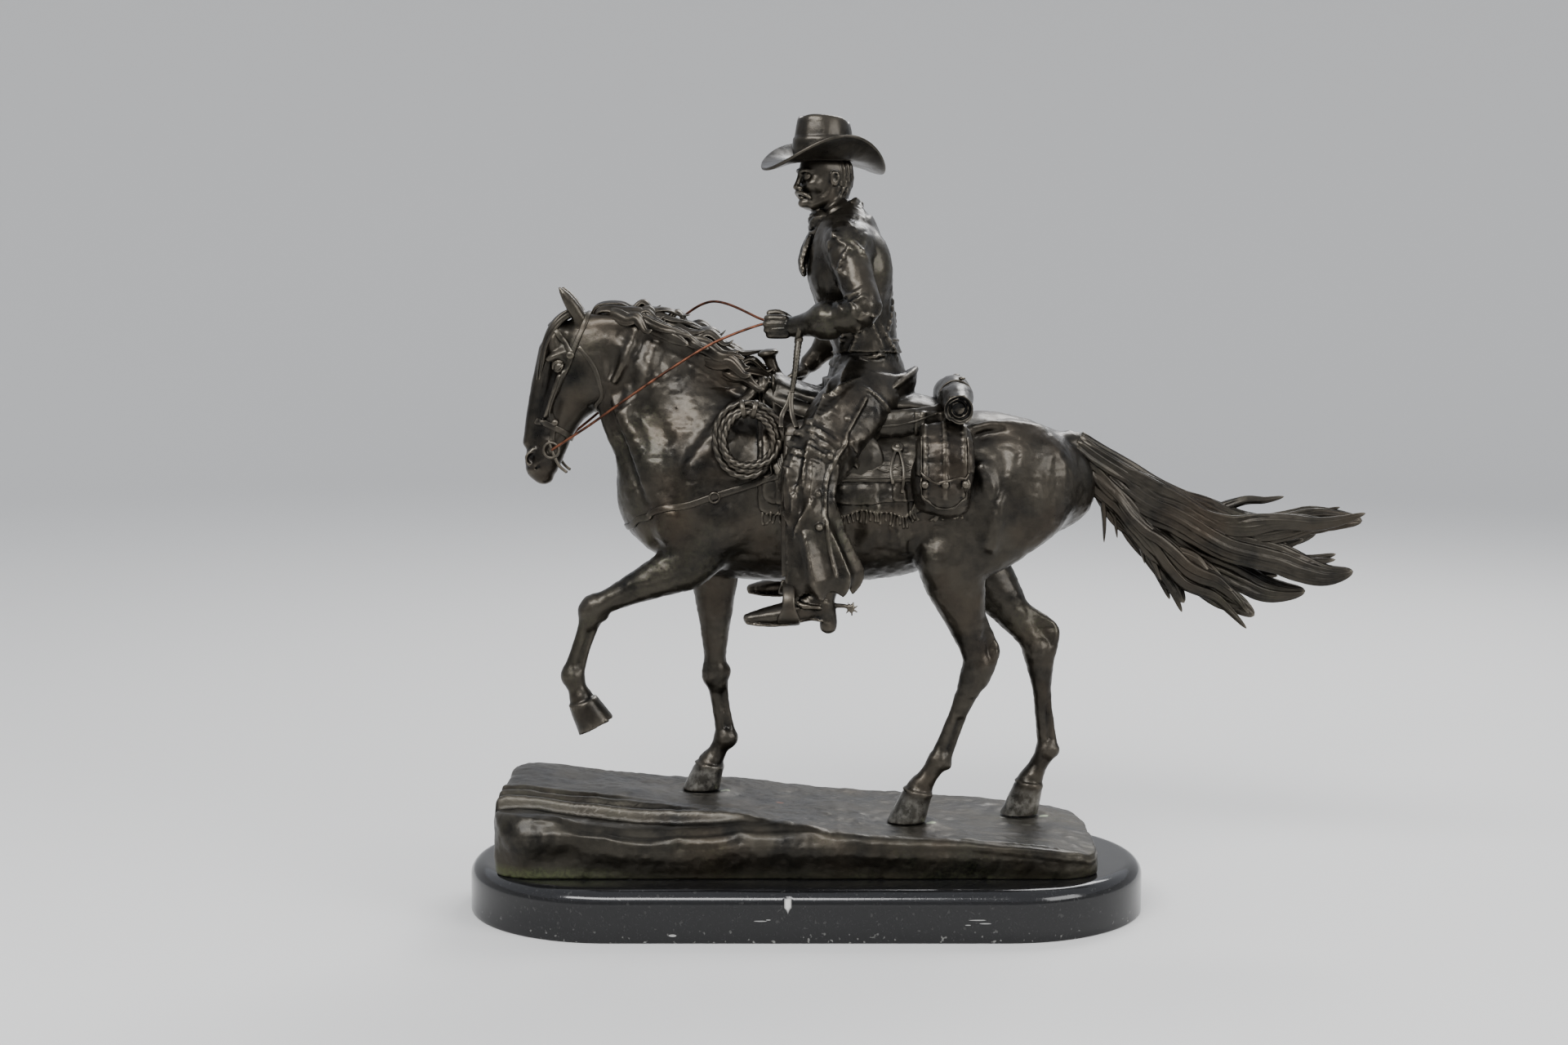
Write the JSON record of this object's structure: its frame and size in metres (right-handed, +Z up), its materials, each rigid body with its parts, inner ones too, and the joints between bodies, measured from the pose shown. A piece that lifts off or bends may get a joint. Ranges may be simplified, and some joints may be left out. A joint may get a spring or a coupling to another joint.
{
  "type": "bronze cowboy statuette on a stone plinth",
  "caption": "Cast bronze figure of a cowboy riding a trotting horse on sloping rock ground, fixed to a polished black stone plinth with round ends.",
  "frame": {"origin": "middle of the plinth's flat underside", "axes": "+X along the plinth from the horse's head end to its tail end, +Y across it from the horse's near side to its far side, +Z up"},
  "size_m": [0.5994, 0.196, 0.5282],
  "materials": {
    "polished_stone": "polished",
    "ground_bronze": "satin",
    "figure_bronze": "satin",
    "copper_wire": "satin"
  },
  "bodies": {
    "root": {"stone_plinth": "polished_stone", "rock_ground": "ground_bronze", "horse_and_rider": "figure_bronze", "near_rein": "copper_wire", "far_rein": "copper_wire"}
  },
  "joints": []
}
